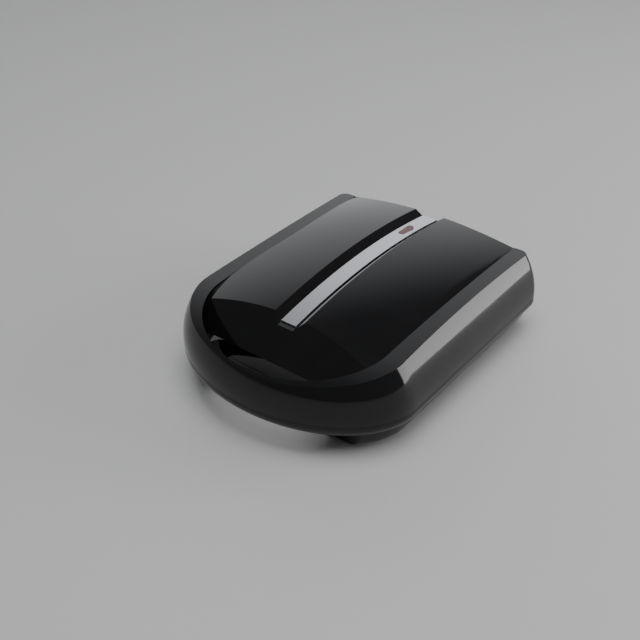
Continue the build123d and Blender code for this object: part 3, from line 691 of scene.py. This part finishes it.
def floor_piece(settings):
    """A wide floor that the camera's view never leaves."""
    shape = bmesh.new()
    bmesh.ops.create_grid(shape, x_segments=1, y_segments=1, size=12.0)
    mesh = bpy.data.meshes.new("floor")
    shape.to_mesh(mesh)
    shape.free()
    material, tree, shader = new_material("floor_paint", settings.floor_colour, 0.6)
    grain = effect(tree, "fine_grain", Scale=30.0, Detail=2.0)
    vary_colour(tree, shader, grain.outputs["Height"], settings.floor_colour,
                shaded(settings.floor_colour, 0.985))
    mesh.materials.append(material)
    floor = bpy.data.objects.new("floor", mesh)
    bpy.context.scene.collection.objects.link(floor)


def softbox(name, direction, distance, width, height, power, aim=(0.0, 0.0, 0.05)):
    """A rectangular lamp that faces the machine from a direction."""
    lamp = bpy.data.lights.new(name, "AREA")
    lamp.shape = "RECTANGLE"
    lamp.size = width
    lamp.size_y = height
    lamp.energy = power
    holder = bpy.data.objects.new(name, lamp)
    away = Vector(direction).normalized()
    holder.location = Vector(aim) + away * distance
    holder.rotation_euler = away.to_track_quat("Z", "Y").to_euler()
    bpy.context.scene.collection.objects.link(holder)


def soft_sky(tree):
    """A dim room that brightens softly towards a low place behind the machine's left."""
    link = tree.links.new
    sky = tree.nodes["Background"]
    sky.inputs["Color"].default_value = (0.95, 0.97, 1.0, 1.0)
    place = add(tree, "ShaderNodeTexCoord")
    towards = add(tree, "ShaderNodeVectorMath", operation="DOT_PRODUCT")
    towards.inputs[1].default_value = Vector((-0.66, 0.68, 0.22)).normalized()
    glow = add(tree, "ShaderNodeMapRange", interpolation_type="SMOOTHSTEP", From_Min=0.72, From_Max=1.0,
               To_Min=0.16, To_Max=1.3)
    link(place.outputs["Generated"], towards.inputs[0])
    link(towards.outputs["Value"], glow.inputs["Value"])
    link(glow.outputs["Result"], sky.inputs["Strength"])


def studio_camera(settings):
    across = math.cos(settings.elevation)
    back = Vector((math.sin(settings.azimuth) * across, -math.cos(settings.azimuth) * across,
                   math.sin(settings.elevation)))
    data = bpy.data.cameras.new("camera")
    data.sensor_width = 36.0
    data.lens = settings.lens_mm
    data.shift_x = settings.shift_x
    data.clip_start = 0.01
    data.clip_end = 100.0
    camera = bpy.data.objects.new("camera", data)
    camera.location = Vector(settings.aim) + back * settings.distance
    camera.rotation_mode = "QUATERNION"
    level = (-back).to_track_quat("-Z", "Y")
    camera.rotation_quaternion = level @ Euler((0.0, 0.0, settings.roll)).to_quaternion()
    bpy.context.scene.collection.objects.link(camera)
    bpy.context.scene.camera = camera


class MAKER_OT_studio(bpy.types.Operator):
    """Set up the floor, the soft lights and the camera."""

    bl_idname = "maker.studio"
    bl_label = "Studio"

    def execute(self, context):
        settings = context.scene.maker_studio
        floor_piece(settings)
        world = bpy.data.worlds.new("studio")
        world.use_nodes = True
        soft_sky(world.node_tree)
        context.scene.world = world
        softbox("right_box", direction=(0.76, 0.62, 0.22), distance=1.5,
                width=1.1, height=0.78, power=17.0)
        softbox("top_box", direction=(0.15, -0.1, 1.0), distance=2.6,
                width=2.2, height=2.2, power=60.0)
        studio_camera(settings)
        return {"FINISHED"}


class MAKER_PT_panel(bpy.types.Panel):
    """The maker's pieces and settings."""

    bl_idname = "MAKER_PT_panel"
    bl_label = "Nut cookie maker"
    bl_space_type = "VIEW_3D"
    bl_region_type = "UI"
    bl_category = "Nut maker"

    def draw(self, context):
        for settings in (context.scene.maker_case, context.scene.maker_plate, context.scene.maker_trim,
                         context.scene.maker_studio):
            box = self.layout.box()
            for name in settings.__annotations__:
                box.prop(settings, name)
        for operator in OPERATORS:
            self.layout.operator(operator.bl_idname)


OPERATORS = (MAKER_OT_case, MAKER_OT_inner_frames, MAKER_OT_plates, MAKER_OT_trim, MAKER_OT_works,
             MAKER_OT_studio)
SETTINGS = {
    "maker_case": CaseSettings,
    "maker_plate": PlateSettings,
    "maker_trim": TrimSettings,
    "maker_studio": StudioSettings,
}


def register():
    for name, kind in SETTINGS.items():
        bpy.utils.register_class(kind)
        setattr(bpy.types.Scene, name, bpy.props.PointerProperty(type=kind))
    for kind in (*OPERATORS, MAKER_PT_panel):
        bpy.utils.register_class(kind)


def unregister():
    for kind in (MAKER_PT_panel, *reversed(OPERATORS)):
        bpy.utils.unregister_class(kind)
    for name, kind in SETTINGS.items():
        delattr(bpy.types.Scene, name)
        bpy.utils.unregister_class(kind)


def main():
    register()
    bpy.ops.maker.case()
    bpy.ops.maker.inner_frames()
    bpy.ops.maker.plates()
    bpy.ops.maker.trim()
    bpy.ops.maker.works()
    bpy.ops.maker.studio()


if __name__ == "__main__":
    main()
